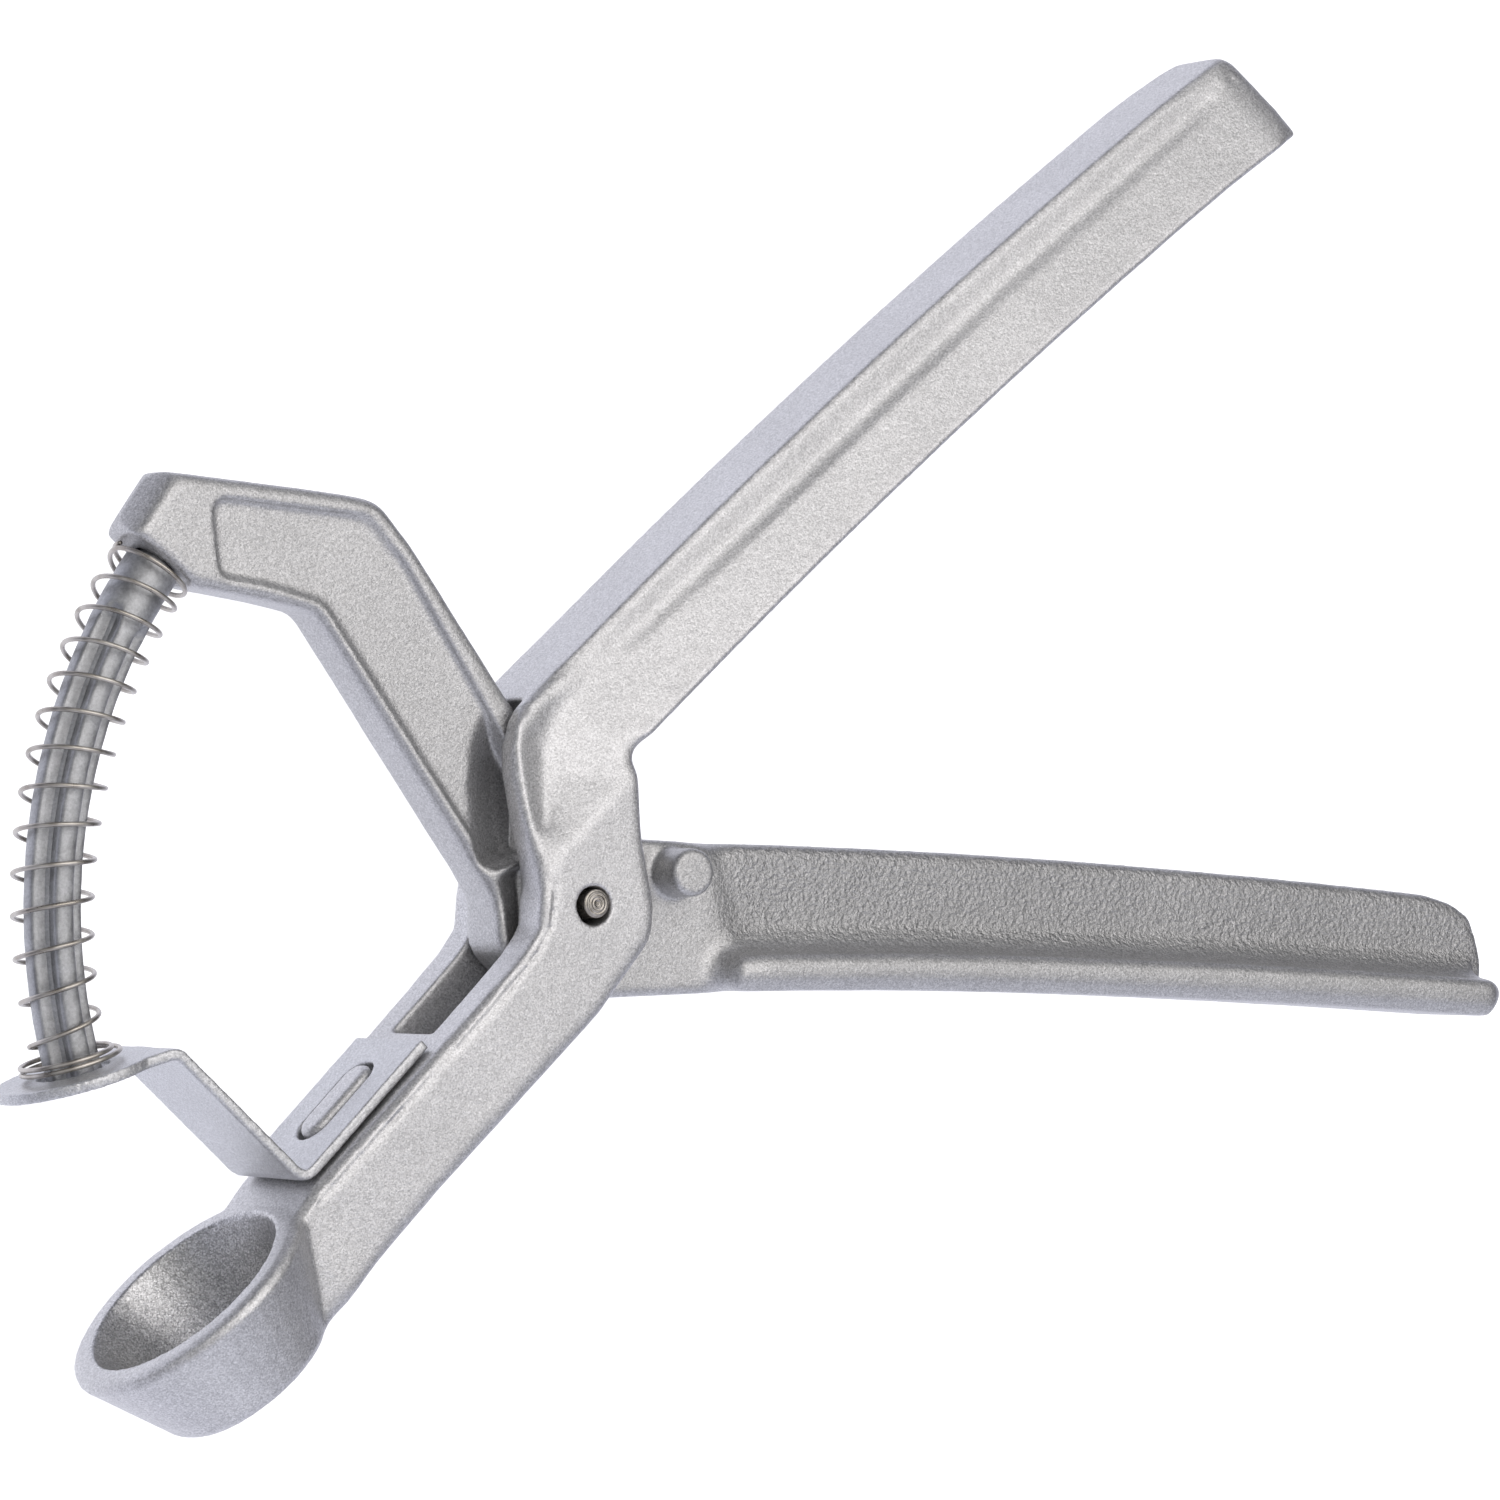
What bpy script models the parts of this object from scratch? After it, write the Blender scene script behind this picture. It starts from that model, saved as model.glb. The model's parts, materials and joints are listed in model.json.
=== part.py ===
"""Hand-held cherry stoner: two die-cast halves on one pin, a curved plunger and its spring.

The tool lies on its side. Every outline is drawn in the XY plane in millimetres, with the
pivot pin's axis at (0, 0), and each piece is symmetric about the plane Z = 0 of its object.
Angles are polar angles about the pivot, in degrees: the plunger, its spring, the hole in the
stripper plate and the cup all lie on one arc about the pin.
"""
import math

import bmesh
import bpy
from mathutils import Vector

MM = 0.001

# Where the pivot's axis stands: the tool's box is centred on the origin and rests on Z = 0.
PIVOT_X = -28.73
PIVOT_Y = -19.64
GAP = 0.3

# The arc that the plunger travels on, and what sits on it
ARC_RADIUS = 57.0
SEAT_ANGLE = 143.5
PLATE_ANGLE = 196.4
CUP_ANGLE = 221.9

# Half thicknesses across the tool
BOSS_HALF = 9.0
ARM_END_HALF = 8.0
CORE_HALF = 5.0
WEB_TOP_HALF = 5.9
WEB_FOOT_HALF = 8.6
VALLEY_HALF = 5.8
FLANGE_TOP_HALF = 5.2
FLANGE_BAND_HALF = 6.1
SLOT_HALF = 4.1
LEVER_HALF = 3.6
GRIP_WEB_HALF = 2.9
GRIP_FLANGE_HALF = 7.8
PANEL_DEPTH = 0.8

# Cup: a tapered ring, open right through
CUP_RIM_RADIUS = 13.9
CUP_BASE_RADIUS = 9.5
CUP_BORE_RADIUS = 11.2
CUP_BORE_BASE_RADIUS = 7.4
CUP_DEPTH = 11.6

# Upper handle
HANDLE_DEPTH = 11.3
HANDLE_FLANGE = 3.1
HANDLE_START = (-5.8, 20.7)
HANDLE_END = (81.4, 91.5)
HANDLE_SAGITTA = 1.6

# Pin, bores and stop studs
PIN_RADIUS = 1.5
PIN_HALF = 8.8
CHEEK_BORE_RADIUS = 2.0
LEVER_BORE_RADIUS = 1.8
STUD_CENTRE = (12.6, 3.3)
STUD_RADIUS = 2.5
STUD_HALF = 8.0

# Plunger, its socket in the lever, and the spring round it
PLUNGER_RADIUS = 2.9
PLUNGER_RIB_HALF = 1.1
PLUNGER_COLLAR_ANGLE = 150.6
PLUNGER_TIP_ANGLE = 198.2
SPIGOT_RADIUS = 2.0
SPIGOT_LENGTH = 5.0
SOCKET_RADIUS = 2.3
SOCKET_DEPTH = 5.6
WIRE_RADIUS = 0.25
SPRING_TOP_RADIUS = 4.15
SPRING_FOOT_RADIUS = 3.6
SPRING_BASE_RADIUS = 5.0
SPRING_TURNS = 13.4

# Stripper plate, bent from one sheet
SHEET = 1.15
PLATE_HALF = 6.7
DISC_RADIUS = 8.2
DISC_HOLE_RADIUS = 3.7
UPPER_BEND = (-46.3, -13.7)
LOWER_BEND_ALONG = 32.5
FOOT_LENGTH = 18.6
LUG_ALONG = 22.7
LUG_LENGTH = 10.0
LUG_HALF_WIDTH = 2.0
LUG_CLEARANCE = 0.5
LUG_HEIGHT = 1.9


# ---------------------------------------------------------------- plane geometry

def polar(radius, degrees):
    """A point at a polar angle about the pivot."""
    angle = math.radians(degrees)
    return (radius * math.cos(angle), radius * math.sin(angle))


def rounded(corners, step=18.0):
    """Turn corners (x, y, radius) into an outline whose corners are arcs."""
    points = []
    for index, (x, y, radius) in enumerate(corners):
        corner = Vector((x, y))
        before = Vector(corners[index - 1][:2]) - corner
        after = Vector(corners[(index + 1) % len(corners)][:2]) - corner
        if radius <= 0.0:
            points.append((x, y))
            continue
        before.normalize()
        after.normalize()
        half_angle = before.angle(after) / 2.0
        reach = radius / math.tan(half_angle)
        centre = corner + (before + after).normalized() * (radius / math.sin(half_angle))
        start = corner + before * reach - centre
        turn = math.pi - 2.0 * half_angle
        if before.x * after.y - before.y * after.x > 0.0:
            turn = -turn
        count = max(1, math.ceil(abs(math.degrees(turn)) / step))
        for number in range(count + 1):
            angle = turn * number / count
            cos, sin = math.cos(angle), math.sin(angle)
            spoke = Vector((start.x * cos - start.y * sin, start.x * sin + start.y * cos))
            points.append(tuple(centre + spoke))
    return points


def inset(outline, distance):
    """Move every side of an outline inwards, whichever way round it runs."""
    moved = []
    count = len(outline)
    area = 0.0
    for index in range(count):
        before, here = outline[index - 1], outline[index]
        area += before[0] * here[1] - here[0] * before[1]
    if area < 0.0:
        distance = -distance
    for index in range(count):
        here = Vector(outline[index])
        side_in = (here - Vector(outline[index - 1])).normalized()
        side_out = (Vector(outline[(index + 1) % count]) - here).normalized()
        normal = Vector((-side_in.y - side_out.y, side_in.x + side_out.x))
        normal = normal / max(0.2, 1.0 + side_in.dot(side_out))
        moved.append(tuple(here + normal * distance))
    return moved


def bowed_line(start, end, sagitta, count):
    """Points from start to end on an arc that bulges to the left by sagitta."""
    first, last = Vector(start), Vector(end)
    chord = last - first
    left = Vector((-chord.y, chord.x)).normalized()
    points = []
    for number in range(count + 1):
        along = number / count
        bulge = 4.0 * sagitta * along * (1.0 - along)
        points.append(first + chord * along + left * bulge)
    return points


def normals_of(path):
    """The left-hand normal at each point of an open path."""
    normals = []
    for index in range(len(path)):
        ahead = path[min(index + 1, len(path) - 1)]
        behind = path[max(index - 1, 0)]
        run = (ahead - behind).normalized()
        normals.append(Vector((-run.y, run.x)))
    return normals


# ---------------------------------------------------------------- solids

def add_object(name, rings, closed_ends=True):
    """Bridge rings of points into one closed solid, set on the pivot's axis."""
    mesh = bpy.data.meshes.new(name)
    bm = bmesh.new()
    loops = [[bm.verts.new(Vector(point) * MM) for point in ring] for ring in rings]
    count = len(loops[0])
    for lower, upper in zip(loops, loops[1:]):
        for index in range(count):
            after = (index + 1) % count
            bm.faces.new((lower[index], lower[after], upper[after], upper[index]))
    if closed_ends:
        bm.faces.new(list(reversed(loops[0])))
        bm.faces.new(loops[-1])
    bmesh.ops.recalc_face_normals(bm, faces=bm.faces)
    bmesh.ops.triangulate(bm, faces=[face for face in bm.faces if len(face.verts) > 4])
    bm.to_mesh(mesh)
    bm.free()
    thing = bpy.data.objects.new(name, mesh)
    bpy.context.collection.objects.link(thing)
    thing.location = (PIVOT_X * MM, PIVOT_Y * MM, CUP_RIM_RADIUS * MM)
    return thing


def slab(name, outline, half, edge=0.0):
    """An outline given thickness on both sides of Z = 0, with chamfered rims."""
    levels = [(0.0, half)]
    if edge > 0.0:
        levels = [(0.0, half - edge), (edge * 0.3, half - edge * 0.3), (edge, half)]
    rings = []
    for distance, height in reversed(levels):
        ring = inset(outline, distance)
        rings.append([(x, y, -height) for x, y in ring])
    for distance, height in levels:
        ring = inset(outline, distance)
        rings.append([(x, y, height) for x, y in ring])
    return add_object(name, rings)


def cylinder(name, centre, radius, half, sides=32, edge=0.0):
    """A round bar along Z."""
    outline = []
    for number in range(sides):
        angle = 2.0 * math.pi * number / sides
        outline.append((centre[0] + radius * math.cos(angle), centre[1] + radius * math.sin(angle)))
    return slab(name, outline, half, edge)


def turned_on_arc(name, angle, profile, sides=40):
    """A solid of revolution about the arc's tangent at an angle; profile is (along, radius)."""
    centre = Vector((*polar(ARC_RADIUS, angle), 0.0))
    outward = Vector((*polar(1.0, angle), 0.0))
    tangent = Vector((-outward.y, outward.x, 0.0))
    rings = []
    for along, radius in profile:
        ring = []
        for number in range(sides):
            spoke = 2.0 * math.pi * number / sides
            across = outward * math.cos(spoke) + Vector((0.0, 0.0, 1.0)) * math.sin(spoke)
            ring.append(centre + tangent * along + across * radius)
        rings.append(ring)
    return add_object(name, rings)


def ribbon(name, stations):
    """A strip along a path: (x, y, depth, ledge depth, outer half, ledge half, inner half)."""
    path = [Vector(station[:2]) for station in stations]
    rings = []
    for point, normal, station in zip(path, normals_of(path), stations):
        depth, ledge_depth, outer, crest, inner = station[2:]
        deep = point - normal * depth
        ledge = point - normal * ledge_depth
        rings.append([
            (point.x, point.y, outer), (ledge.x, ledge.y, crest), (deep.x, deep.y, inner),
            (deep.x, deep.y, -inner), (ledge.x, ledge.y, -crest), (point.x, point.y, -outer),
        ])
    return add_object(name, rings)


def cut_or_join(target, tool, operation):
    """Boolean one helper solid into a piece."""
    modifier = target.modifiers.new(tool.name, "BOOLEAN")
    modifier.operation = operation
    modifier.solver = "EXACT"
    modifier.object = tool
    tool.hide_render = True
    tool.display_type = "WIRE"


def finish(thing, color, metallic, roughness):
    """Give a piece its own material and smooth its round faces."""
    material = bpy.data.materials.new(thing.name + "_finish")
    material.use_nodes = True
    shader = material.node_tree.nodes["Principled BSDF"]
    shader.inputs["Base Color"].default_value = (*color, 1.0)
    shader.inputs["Metallic"].default_value = metallic
    shader.inputs["Roughness"].default_value = roughness
    thing.data.materials.append(material)
    thing.data.shade_smooth()
    thing.data.set_sharp_from_angle(angle=math.radians(35.0))


# ---------------------------------------------------------------- body casting

def front_edge():
    """The front edge of the two cheeks, from the handle's top face down to the arm."""
    return [
        (-5.8, 20.7), (-7.6, 18.6), (-8.4, 16.0), (-8.4, 13.4), (-7.8, 10.2),
        (-7.1, 6.6), (-6.4, 3.2), (-6.1, 0.6), (-6.5, -2.2), (-8.0, -4.7),
    ]


def handle_lines(count=12):
    """The handle's outer line, and its inner line one depth below."""
    outer = bowed_line(HANDLE_START, HANDLE_END, HANDLE_SAGITTA, count)
    inner = [point - normal * HANDLE_DEPTH for point, normal in zip(outer, normals_of(outer))]
    return outer, inner


def make_body_casting():
    """Upper handle, two cheeks, cup arm, cup and the lug that holds the plate."""
    outer, inner = handle_lines()
    sunk = [point - normal * 1.0 for point, normal in zip(outer, normals_of(outer))]
    corners = [(-2.0, -2.0, 0), (4.6, 4.0, 0), (5.3, 8.0, 0), (5.0, 13.8, 0), (6.4, 15.2, 0)]
    corners += [(*point, 0) for point in inner[2:-1]]
    corners += [(88.4, 82.6, 1.7), (82.6, 90.6, 0)]
    corners += [(*point, 0) for point in reversed(sunk[:-1])]
    corners += [(x + 1.0, y, 0) for x, y in front_edge()[1:8]]
    body = slab("body_casting", rounded(corners), CORE_HALF, edge=0.9)

    cut_or_join(body, make_handle_web(), "UNION")
    cut_or_join(body, make_casting_rim(outer), "UNION")

    boss_outline = rounded([
        (5.6, 15.4, 0.9), (6.1, 7.0, 0), (7.6, -0.4, 0), (7.2, -3.6, 2.0), (0.9, -11.2, 0),
        (-3.9, -15.7, 0), (-11.6, -8.3, 0), (-8.4, -5.0, 0), (-6.5, -2.4, 0), (-6.2, 1.4, 0),
        (-6.0, 4.8, 0), (-5.2, 6.8, 0), (-3.6, 8.8, 0), (-0.4, 11.2, 0), (2.6, 14.0, 0),
    ])
    boss = slab("hub_boss", boss_outline, BOSS_HALF, edge=0.8)
    cut_or_join(body, boss, "UNION")

    cut_or_join(body, make_cup_arm(), "UNION")
    cup_rings = [(0.0, CUP_RIM_RADIUS - 1.0), (0.35, CUP_RIM_RADIUS - 0.25), (1.1, CUP_RIM_RADIUS),
                 (CUP_DEPTH - 0.8, CUP_BASE_RADIUS + 0.3), (CUP_DEPTH, CUP_BASE_RADIUS - 0.5)]
    cut_or_join(body, turned_on_arc("cup_outside", CUP_ANGLE, cup_rings), "UNION")
    cut_or_join(body, make_lug(), "UNION")

    flare = (CUP_BORE_RADIUS - CUP_BORE_BASE_RADIUS) / CUP_DEPTH
    bore_rings = [(-3.0, CUP_BORE_RADIUS + 3.0 * flare),
                  (CUP_DEPTH + 3.0, CUP_BORE_BASE_RADIUS - 3.0 * flare)]
    cut_or_join(body, turned_on_arc("cup_bore", CUP_ANGLE, bore_rings), "DIFFERENCE")
    cut_or_join(body, make_slot(), "DIFFERENCE")
    pin_hole = cylinder("cheek_bore", (-0.12, -0.1), CHEEK_BORE_RADIUS, BOSS_HALF + 2.0, sides=24)
    cut_or_join(body, pin_hole, "DIFFERENCE")
    finish(body, (0.62, 0.62, 0.63), 0.7, 0.45)
    return body


def make_handle_web():
    """The handle's tapered web, thickest along its inner edge, running into the hub."""
    stations = []
    start = Vector(HANDLE_START)
    along = (Vector(HANDLE_END) - start).normalized()
    left = Vector((-along.y, along.x))
    depth = HANDLE_DEPTH
    # In the hub the web starts in the valley behind the rim, and ends under the boss.
    for back, top in ((6.8, 10.2), (5.0, 8.1), (3.0, 5.6), (1.2, 3.4)):
        stations.append((start - along * back, left, top, depth, VALLEY_HALF))
    outer = handle_lines()[0]
    for point, normal in list(zip(outer, normals_of(outer)))[1:-1]:
        stations.append((point, normal, 1.0, depth, CORE_HALF))
    stations.append((Vector((80.6, 90.6)), left, 1.2, depth, CORE_HALF))
    stations.append((Vector((84.6, 90.4)), Vector((-0.70, 0.72)), 1.8, 9.6, CORE_HALF))
    rings = []
    for point, normal, top, foot, brow in stations:
        def at(down, height):
            spot = point - normal * down
            return (spot.x, spot.y, height)

        soft = foot - 0.5
        low = min(max(3.3, top + 1.3), soft - 0.1)
        slope = (WEB_FOOT_HALF - WEB_TOP_HALF) / (HANDLE_DEPTH - 3.8)
        face = WEB_TOP_HALF + slope * (low - 3.3)
        brim = WEB_TOP_HALF + slope * (soft - 3.3)
        rings.append([
            at(top, brow), at(low, face), at(soft, brim), at(foot, brim - 0.6),
            at(foot, 0.6 - brim), at(soft, -brim), at(low, -face), at(top, -brow),
        ])
    return add_object("handle_web", rings)


def make_casting_rim(handle_line):
    """The wide rim: up the cheeks' front edge, along the handle's top and round its end."""
    stations = []
    edge = list(reversed(front_edge()))
    for index, (x, y) in enumerate(edge[:-1]):
        rise = min(1.0, index / 6.0)
        half = BOSS_HALF - 0.15 + (7.1 - BOSS_HALF + 0.15) * rise
        slope = max(0.0, min(1.0, (index - 3) / 2.0))
        deep = 1.9 + 2.0 * slope
        foot = half + (VALLEY_HALF + 0.1 - half) * slope
        stations.append((x, y, deep, 0.7, half - 0.9, half, foot))
    stations.append((-6.9, 19.8, 3.6, 1.1, 5.6, 6.6, 5.6))
    stations.append((-5.4, 21.3, 3.3, 1.9, FLANGE_TOP_HALF, FLANGE_BAND_HALF, 5.5))
    for point in handle_line[1:-1]:
        stations.append((*point, HANDLE_FLANGE, 2.5, FLANGE_TOP_HALF, FLANGE_BAND_HALF, 5.5))
    stations.append((79.8, 90.1, HANDLE_FLANGE, 2.4, 4.9, 6.0, 5.5))
    stations.append((82.7, 92.0, 2.0, 1.5, 4.0, 6.0, 5.5))
    stations.append((84.6, 91.4, 2.0, 1.5, 3.9, 6.3, 5.8))
    stations.append((88.0, 87.4, 2.0, 1.4, 4.6, 7.5, 7.0))
    stations.append((90.6, 84.0, 2.0, 1.3, 5.2, 8.1, 7.6))
    return ribbon("casting_rim", stations)


def make_cup_arm():
    """The arm from the hub to the cup, a little thinner at the cup."""
    stations = [
        ((-7.9, -4.6), (1.7, -10.5), BOSS_HALF - 0.03), ((-13.1, -9.7), (-5.4, -17.2), BOSS_HALF - 0.03),
        ((-24.6, -20.9), (-17.2, -28.4), 8.5), ((-31.9, -28.1), (-24.4, -35.9), ARM_END_HALF),
        ((-34.4, -31.2), (-27.2, -39.2), ARM_END_HALF), ((-37.4, -34.6), (-31.0, -43.0), 7.4),
    ]
    rings = []
    for top, bottom, half in stations:
        top, bottom = Vector(top), Vector(bottom)
        down = (bottom - top).normalized() * 0.8
        soft_top, soft_bottom = top + down, bottom - down
        rings.append([
            (*top, half - 0.8), (*soft_top, half), (*soft_bottom, half), (*bottom, half - 0.8),
            (*bottom, -half + 0.8), (*soft_bottom, -half), (*soft_top, -half), (*top, -half + 0.8),
        ])
    return add_object("cup_arm", rings)


def make_slot():
    """The room between the cheeks, open at the front, at the right and into the arm."""
    outline = rounded([
        (20.0, 14.4, 0), (3.4, 14.4, 2.0), (-6.35, 21.35, 0), (-7.0, 24.6, 0), (-20.0, 24.0, 0),
        (-13.0, 0.0, 0), (-17.4, -11.2, 0), (-16.4, -12.9, 1.2), (-10.0, -16.2, 1.5),
        (-2.0, -10.2, 0), (4.4, -10.2, 0), (20.0, -10.6, 0),
    ])
    return slab("cheek_slot", outline, SLOT_HALF)


def arm_frame():
    """A point on the arm's top face and the unit vectors along and out of it."""
    along = Vector((-1.0, -0.98)).normalized()
    out = Vector((along.y, -along.x))
    if out.x > 0.0:
        out.negate()
    return Vector((-8.0, -4.7)), along, out


def make_lug():
    """The oblong lug that stands up through the plate and is staked over."""
    base, along, out = arm_frame()
    middle = base + along * LUG_ALONG
    rings = []
    for depth, shrink in ((-1.0, 0.0), (LUG_HEIGHT - 0.5, 0.0), (LUG_HEIGHT, 0.5)):
        ring = []
        straight = LUG_LENGTH / 2.0 - LUG_HALF_WIDTH
        radius = LUG_HALF_WIDTH - shrink
        for number in range(16):
            angle = 2.0 * math.pi * (number + 0.5) / 16
            shift = straight if math.cos(angle) > 0.0 else -straight
            spot = middle + out * depth + along * (shift + radius * math.cos(angle))
            ring.append((spot.x, spot.y, radius * math.sin(angle)))
        rings.append(ring)
    return add_object("plate_lug", rings)


# ---------------------------------------------------------------- lever casting

def make_lever_casting():
    """Plunger arm, hub between the cheeks, stop studs and the T-shaped lower handle."""
    arm_outline = rounded([
        (-46.6, 43.1, 1.2), (-50.4, 37.7, 0.8), (-49.4, 36.55, 0.3), (-42.6, 31.5, 0.5),
        (-35.0, 30.4, 0), (-29.1, 29.3, 2.5), (-10.5, 3.7, 0), (-8.2, 0.4, 3.0),
        (-8.0, -4.6, 4.0), (-3.0, -9.2, 3.0), (4.0, -9.6, 0), (13.0, -9.35, 0), (19.0, -9.2, 0),
        (20.4, -3.2, 0), (17.8, 6.3, 0), (10.2, 6.7, 0), (5.2, 6.9, 5.0), (-6.95, 21.3, 0),
        (-18.6, 37.2, 0), (-21.7, 40.9, 3.0), (-31.0, 41.8, 0),
    ])
    lever = slab("lever_casting", arm_outline, LEVER_HALF, edge=0.8)
    cut_or_join(lever, make_grip_web(), "UNION")
    cut_or_join(lever, make_grip_flange(), "UNION")
    studs = cylinder("stop_studs", STUD_CENTRE, STUD_RADIUS, STUD_HALF, sides=24, edge=0.4)
    cut_or_join(lever, studs, "UNION")

    panel = rounded([
        (-41.2, 40.6, 1.5), (-40.2, 32.7, 1.5), (-34.8, 32.0, 0), (-28.4, 30.3, 2.5),
        (-8.6, 3.4, 0.6), (-5.6, 4.6, 0.6), (-5.2, 13.4, 2.0), (-18.8, 34.2, 0), (-23.0, 39.1, 2.5),
    ])
    for side in (1.0, -1.0):
        tool = slab("arm_panel_up" if side > 0 else "arm_panel_down", panel, 1.5)
        tool.location.z += side * (LEVER_HALF + 1.5 - PANEL_DEPTH) * MM
        cut_or_join(lever, tool, "DIFFERENCE")
    bore = cylinder("lever_bore", (0.0, 0.0), LEVER_BORE_RADIUS, LEVER_HALF + 3.0, sides=24)
    cut_or_join(lever, bore, "DIFFERENCE")
    socket = turned_on_arc("plunger_socket", SEAT_ANGLE,
                           [(-SOCKET_DEPTH, SOCKET_RADIUS), (3.0, SOCKET_RADIUS)], sides=20)
    cut_or_join(lever, socket, "DIFFERENCE")
    finish(lever, (0.6, 0.6, 0.61), 0.7, 0.48)
    return lever


def grip_lines(count=10):
    """The lower handle's bottom line, as x and y."""
    points = []
    for number in range(count + 1):
        x = 18.2 + (118.0 - 18.2) * number / count
        y = -9.0 - 3.75 * max(0.0, (x - 30.0) / 88.0) ** 1.6
        points.append(Vector((x, y)))
    return points


def make_grip_web():
    """The upright web of the lower handle, as an outline in the tool's plane."""
    bottom = [(point.x, point.y + 1.5) for point in grip_lines()]
    top = []
    for number in range(9):
        x = 112.0 - (112.0 - 16.0) * number / 8
        top.append((x, 6.4 - 5.8 * ((x - 10.0) / 104.0) ** 1.7))
    outline = [(14.0, -7.0)] + bottom + [(119.8, -8.2), (119.4, -4.6), (118.2, -1.6), (115.6, -0.1)]
    return slab("grip_web", outline + top + [(14.0, 5.0)], GRIP_WEB_HALF, edge=0.7)


def make_grip_flange():
    """The wide outer flange that the fingers press on."""
    bottom = grip_lines()
    bottom.append(Vector((120.0, -11.6)))
    rings = []
    for index, point in enumerate(bottom):
        along = index / (len(bottom) - 1)
        half = GRIP_FLANGE_HALF - 0.3 * along
        thick = 3.9 + 0.3 * along
        if index == len(bottom) - 1:
            half -= 1.6
            thick = 2.4
        top = point.y + thick
        rings.append([
            (point.x, point.y, half - 1.2), (point.x, point.y + 1.2, half),
            (point.x, top - 0.8, half), (point.x, top, half - 0.8),
            (point.x, top, -half + 0.8), (point.x, top - 0.8, -half),
            (point.x, point.y + 1.2, -half), (point.x, point.y, -half + 1.2),
        ])
    return add_object("grip_flange", rings)


# ---------------------------------------------------------------- loose pieces

def make_plunger():
    """The curved plunger: a spigot, a round collar and a cross-shaped rod."""
    shoulder = GAP
    rings = []

    def ring_at(centre, outward, radii):
        ring = []
        for index, radius in enumerate(radii):
            angle = 2.0 * math.pi * index / len(radii)
            spot = centre + outward * (radius * math.cos(angle))
            ring.append((spot.x, spot.y, radius * math.sin(angle)))
        return ring

    # 24 points a ring: four ribs of five points and four groove bottoms
    sides = 24
    groove = PLUNGER_RIB_HALF * math.sqrt(2.0)
    cross = [groove if index % 6 == 3 else PLUNGER_RADIUS for index in range(sides)]
    for index in range(sides):
        if index % 6 in (2, 4):
            cross[index] = PLUNGER_RIB_HALF / math.sin(math.radians(30.0))
    collar = [PLUNGER_RADIUS] * sides
    spigot = [SPIGOT_RADIUS] * sides

    seat_out = Vector(polar(1.0, SEAT_ANGLE))
    seat_along = Vector((-seat_out.y, seat_out.x))
    seat = seat_out * ARC_RADIUS
    rings.append(ring_at(seat - seat_along * SPIGOT_LENGTH, seat_out, spigot))
    rings.append(ring_at(seat + seat_along * shoulder, seat_out, spigot))
    rings.append(ring_at(seat + seat_along * (shoulder + 0.01), seat_out, collar))

    def on_arc(angle, radii):
        outward = Vector(polar(1.0, angle))
        return ring_at(outward * ARC_RADIUS, outward, radii)

    rings.append(on_arc(PLUNGER_COLLAR_ANGLE, collar))
    rings.append(on_arc(PLUNGER_COLLAR_ANGLE + 0.8, cross))
    steps = 14
    first = PLUNGER_COLLAR_ANGLE + 0.8
    for number in range(1, steps + 1):
        rings.append(on_arc(first + (PLUNGER_TIP_ANGLE - first) * number / steps, cross))
    plunger = add_object("plunger", rings)
    finish(plunger, (0.5, 0.51, 0.53), 0.9, 0.35)
    return plunger


def make_stripper_plate():
    """The bent sheet: a foot on the arm, a slanted strip and the disc round the plunger."""
    disc_out = Vector(polar(1.0, PLATE_ANGLE))
    base, along, out = arm_frame()
    foot_top = GAP + SHEET
    upper, lower = Vector(UPPER_BEND), base + along * LOWER_BEND_ALONG + out * foot_top
    foot_end = lower - along * FOOT_LENGTH
    centre = disc_out * ARC_RADIUS
    # The sheet's upper face, then its lower face one sheet away
    top_path = rounded([(*centre, 0), (*upper, 1.6), (*lower, 0.8), (*foot_end, 0)], step=30.0)
    top_path = [Vector(point) for point in top_path]
    normals = normals_of(top_path)
    outline = [tuple(point) for point in top_path]
    outline += [tuple(point - normal * SHEET) for point, normal in
                reversed(list(zip(top_path, normals)))]
    plate = slab("stripper_plate", outline, PLATE_HALF)

    disc = turned_on_arc("plate_disc", PLATE_ANGLE, [(0.0, DISC_RADIUS), (SHEET, DISC_RADIUS)])
    cut_or_join(plate, disc, "UNION")
    hole = turned_on_arc("disc_hole", PLATE_ANGLE,
                         [(-3.0, DISC_HOLE_RADIUS), (SHEET + 3.0, DISC_HOLE_RADIUS)], sides=28)
    cut_or_join(plate, hole, "DIFFERENCE")
    cut_or_join(plate, make_lug_window(), "DIFFERENCE")
    finish(plate, (0.6, 0.61, 0.63), 0.7, 0.42)
    return plate


def make_lug_window():
    """The oblong window that clears the lug."""
    base, along, out = arm_frame()
    middle = base + along * LUG_ALONG
    rings = []
    for depth in (-1.0, 4.0):
        ring = []
        straight = LUG_LENGTH / 2.0 - LUG_HALF_WIDTH
        radius = LUG_HALF_WIDTH + LUG_CLEARANCE
        for number in range(16):
            angle = 2.0 * math.pi * (number + 0.5) / 16
            shift = straight if math.cos(angle) > 0.0 else -straight
            spot = middle + out * depth + along * (shift + radius * math.cos(angle))
            ring.append((spot.x, spot.y, radius * math.sin(angle)))
        rings.append(ring)
    return add_object("lug_window", rings)


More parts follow.
